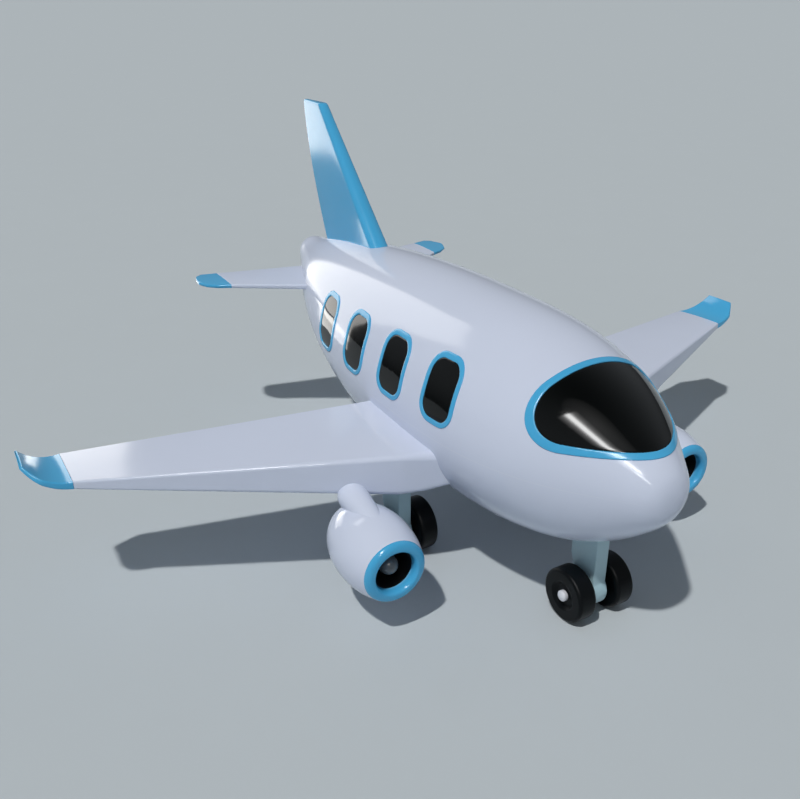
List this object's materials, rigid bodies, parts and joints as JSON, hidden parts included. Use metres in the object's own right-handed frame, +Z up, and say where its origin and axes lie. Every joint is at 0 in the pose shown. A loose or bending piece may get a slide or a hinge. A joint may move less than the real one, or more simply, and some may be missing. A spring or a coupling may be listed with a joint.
{
  "type": "toy airplane",
  "caption": "Toy airliner with a hollow moulded body, swept wings with upturned tips, underwing engines, dark windows and fixed legs whose paired wheels roll freely.",
  "frame": {"origin": "on the ground the wheels stand on, on the centre plane, halfway between the nose and the tail", "axes": "+Z up, nose towards -Y, tail towards +Y, the plane's own left wing towards +X"},
  "size_m": [0.2882, 0.2244, 0.1314],
  "materials": {
    "white_shell": "glossy injection moulding, cool white",
    "blue_trim": "glossy injection moulding, sky blue",
    "black_glazing": "polished opaque black",
    "black_duct": "smooth black",
    "grey_spinner": "glossy grey",
    "grey_strut": "satin slate grey",
    "black_wheel": "soft black moulding",
    "cap_plastic": "glossy pale plastic",
    "steel_rod": "drawn wire",
    "screw_steel": "zinc plated"
  },
  "bodies": {
    "airframe": {"upper_shell": "white_shell", "lower_shell": "white_shell", "windshield": "black_glazing", "windshield_bezel": "blue_trim", "wing_spar": "steel_rod", "tail_fin": "blue_trim", "belly_screws": "screw_steel", "right_window_frame_1": "blue_trim", "right_window_frame_2": "blue_trim", "right_window_frame_3": "blue_trim", "right_window_frame_4": "blue_trim", "left_window_frame_1": "blue_trim", "left_window_frame_2": "blue_trim", "left_window_frame_3": "blue_trim", "left_window_frame_4": "blue_trim", "right_window_pane_1": "black_glazing", "right_window_pane_2": "black_glazing", "right_window_pane_3": "black_glazing", "right_window_pane_4": "black_glazing", "left_window_pane_1": "black_glazing", "left_window_pane_2": "black_glazing", "left_window_pane_3": "black_glazing", "left_window_pane_4": "black_glazing", "right_wing": "white_shell", "right_winglet": "blue_trim", "right_stabilizer": "white_shell", "right_stabilizer_tip": "blue_trim", "right_pylon": "white_shell", "right_nacelle": "white_shell", "right_inlet_ring": "blue_trim", "right_inlet_duct": "black_duct", "right_spinner": "grey_spinner", "left_wing": "white_shell", "left_winglet": "blue_trim", "left_stabilizer": "white_shell", "left_stabilizer_tip": "blue_trim", "left_pylon": "white_shell", "left_nacelle": "white_shell", "left_inlet_ring": "blue_trim", "left_inlet_duct": "black_duct", "left_spinner": "grey_spinner", "nose_strut": "grey_strut", "nose_axle": "steel_rod", "nose_hub_caps": "cap_plastic", "right_main_strut": "grey_strut", "right_main_axle": "steel_rod", "right_main_hub_caps": "cap_plastic", "left_main_strut": "grey_strut", "left_main_axle": "steel_rod", "left_main_hub_caps": "cap_plastic"},
    "nose_right_wheel": {"nose_right_wheel": "black_wheel"},
    "nose_left_wheel": {"nose_left_wheel": "black_wheel"},
    "right_main_right_wheel": {"right_main_right_wheel": "black_wheel"},
    "right_main_left_wheel": {"right_main_left_wheel": "black_wheel"},
    "left_main_right_wheel": {"left_main_right_wheel": "black_wheel"},
    "left_main_left_wheel": {"left_main_left_wheel": "black_wheel"}
  },
  "joints": [
    {"name": "nose_right_spin", "type": "hinge", "parent": "airframe", "child": "nose_right_wheel", "pos_m": [-0.00723, -0.085, 0.0085], "axis": [1, 0, 0], "continuous": true},
    {"name": "nose_left_spin", "type": "hinge", "parent": "airframe", "child": "nose_left_wheel", "pos_m": [0.00723, -0.085, 0.0085], "axis": [1, 0, 0], "continuous": true},
    {"name": "right_main_right_spin", "type": "hinge", "parent": "airframe", "child": "right_main_right_wheel", "pos_m": [-0.04243, -0.02985, 0.009], "axis": [1, 0, 0], "continuous": true},
    {"name": "right_main_left_spin", "type": "hinge", "parent": "airframe", "child": "right_main_left_wheel", "pos_m": [-0.02797, -0.02985, 0.009], "axis": [1, 0, 0], "continuous": true},
    {"name": "left_main_right_spin", "type": "hinge", "parent": "airframe", "child": "left_main_right_wheel", "pos_m": [0.02797, -0.02985, 0.009], "axis": [1, 0, 0], "continuous": true},
    {"name": "left_main_left_spin", "type": "hinge", "parent": "airframe", "child": "left_main_left_wheel", "pos_m": [0.04243, -0.02985, 0.009], "axis": [1, 0, 0], "continuous": true}
  ]
}
